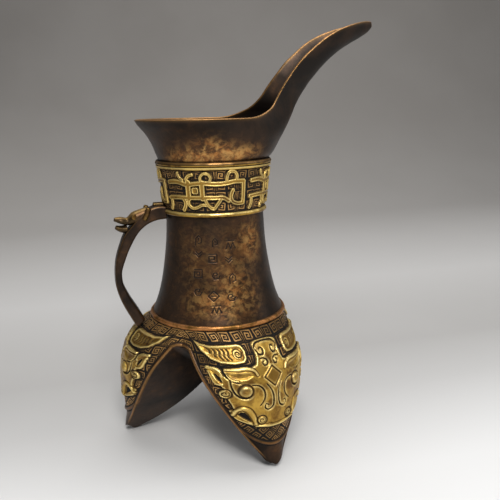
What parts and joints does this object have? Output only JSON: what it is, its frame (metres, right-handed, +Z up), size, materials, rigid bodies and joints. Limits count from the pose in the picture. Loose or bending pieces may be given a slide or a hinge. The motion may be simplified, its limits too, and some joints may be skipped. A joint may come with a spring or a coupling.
{
  "type": "bronze tripod ewer",
  "caption": "Cast bronze ritual pitcher on hollow pointed legs, with a rising channel spout, a strap handle with a dragon head, a frieze band and gilt masks.",
  "frame": {"origin": "on the ground, at the centre of the plan box that holds the spout, the handle and the feet", "axes": "+Z up; +X is the way the spout points, opposite the handle; +Y completes the right-handed frame"},
  "size_m": [0.1554, 0.1126, 0.2383],
  "materials": {
    "patina_bronze": "dark brown patina, worn to golden brown, satin",
    "gilding": "worn gilding on raised ornament, dark in the recesses",
    "copper_bead": "polished copper coloured border beads"
  },
  "bodies": {
    "root": {"arch_bead_back": "copper_bead", "arch_bead_left": "copper_bead", "arch_bead_right": "copper_bead", "brow_inner_back": "gilding", "brow_inner_left": "gilding", "brow_inner_right": "gilding", "brow_outer_back": "gilding", "brow_outer_left": "gilding", "brow_outer_right": "gilding", "dragon_ears": "gilding", "dragon_eyes": "gilding", "dragon_head": "gilding", "foot_bead_back": "copper_bead", "foot_bead_left": "copper_bead", "foot_bead_right": "copper_bead", "frieze_band": "patina_bronze", "frieze_dragon_1": "gilding", "frieze_dragon_2": "gilding", "frieze_dragon_3": "gilding", "frieze_dragon_4": "gilding", "frieze_high_bead": "copper_bead", "frieze_low_bead": "copper_bead", "handle_mane": "gilding", "handle_strap": "patina_bronze", "leg_back": "patina_bronze", "leg_left": "patina_bronze", "leg_right": "patina_bronze", "mask_back": "gilding", "mask_diamond_back": "gilding", "mask_diamond_left": "gilding", "mask_diamond_right": "gilding", "mask_eyes_back": "gilding", "mask_eyes_left": "gilding", "mask_eyes_right": "gilding", "mask_left": "gilding", "mask_right": "gilding", "mouth_and_spout": "patina_bronze", "neck": "patina_bronze", "shoulder_bead": "copper_bead"}
  },
  "joints": []
}
